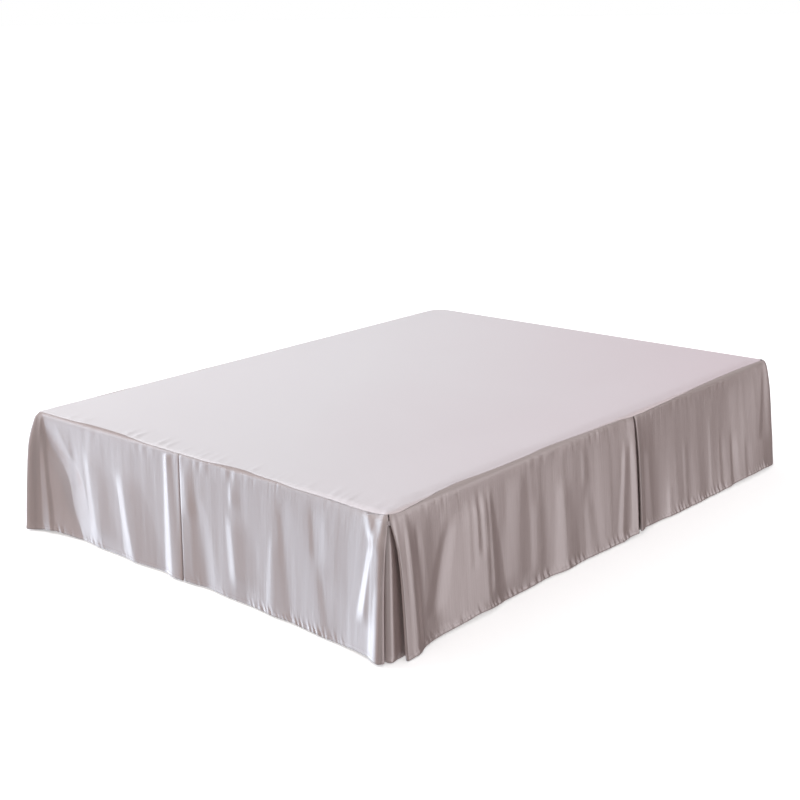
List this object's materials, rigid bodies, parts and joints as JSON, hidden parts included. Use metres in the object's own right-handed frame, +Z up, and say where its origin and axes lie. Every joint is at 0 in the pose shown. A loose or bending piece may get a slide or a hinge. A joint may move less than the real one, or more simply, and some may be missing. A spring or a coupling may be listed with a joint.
{
  "type": "bed skirt on a bed base",
  "caption": "Pleated satin bed skirt with a plain platform cloth, hanging to the floor on the foot and both sides of a plain box base on legs.",
  "frame": {"origin": "on the floor under the middle of the bed", "axes": "+Z up, +Y from the foot of the bed to its head, +X across the foot to the side whose corner pleat stands open"},
  "size_m": [1.627, 2.1489, 0.3986],
  "materials": {
    "platform_cloth": "plain matt weave, pale pinkish grey",
    "satin": "smooth satin with a soft sheen, pinkish silver grey",
    "base_cover": "plain off-white cover cloth",
    "leg_wood": "plain oiled wood"
  },
  "bodies": {
    "root": {"deck_cloth": "platform_cloth", "foot_drop": "satin", "near_side_drop": "satin", "far_side_drop": "satin", "box_base": "base_cover", "leg_1": "leg_wood", "leg_2": "leg_wood", "leg_3": "leg_wood", "leg_4": "leg_wood", "leg_5": "leg_wood", "leg_6": "leg_wood"}
  },
  "joints": []
}
